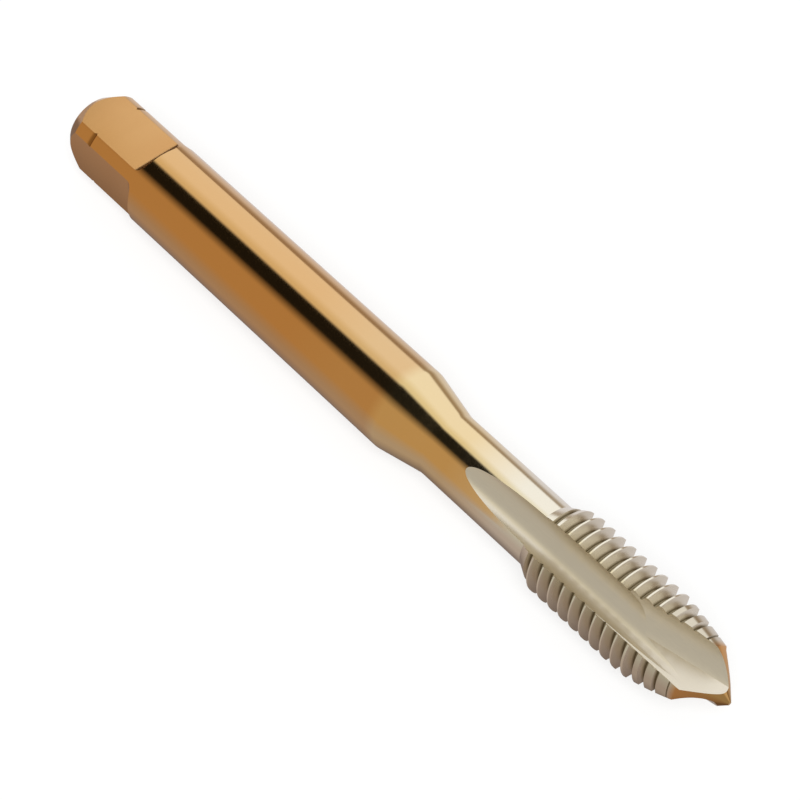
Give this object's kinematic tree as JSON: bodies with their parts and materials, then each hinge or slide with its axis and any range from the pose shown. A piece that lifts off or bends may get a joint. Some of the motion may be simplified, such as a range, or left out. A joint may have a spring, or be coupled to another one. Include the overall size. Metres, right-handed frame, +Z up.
{
  "type": "machine tap",
  "caption": "Spiral point machine tap for cutting a metric internal thread, with a straight shank, a reduced neck and a square drive end.",
  "frame": {"origin": "on the surface the tap lies on, under the middle of its length", "axes": "+X along the tap's axis, from the square drive end towards the cutting point; +Z up, square to the upper flat of the square; the tap turns right-handed about +X to cut"},
  "size_m": [0.1, 0.01, 0.0101],
  "materials": {
    "coated_tool_steel": "ground and polished high-speed steel with a thin gold-coloured coating on the shank, bare bright steel in the flutes and on the thread"
  },
  "bodies": {
    "root": {"tap": "coated_tool_steel"}
  },
  "joints": []
}
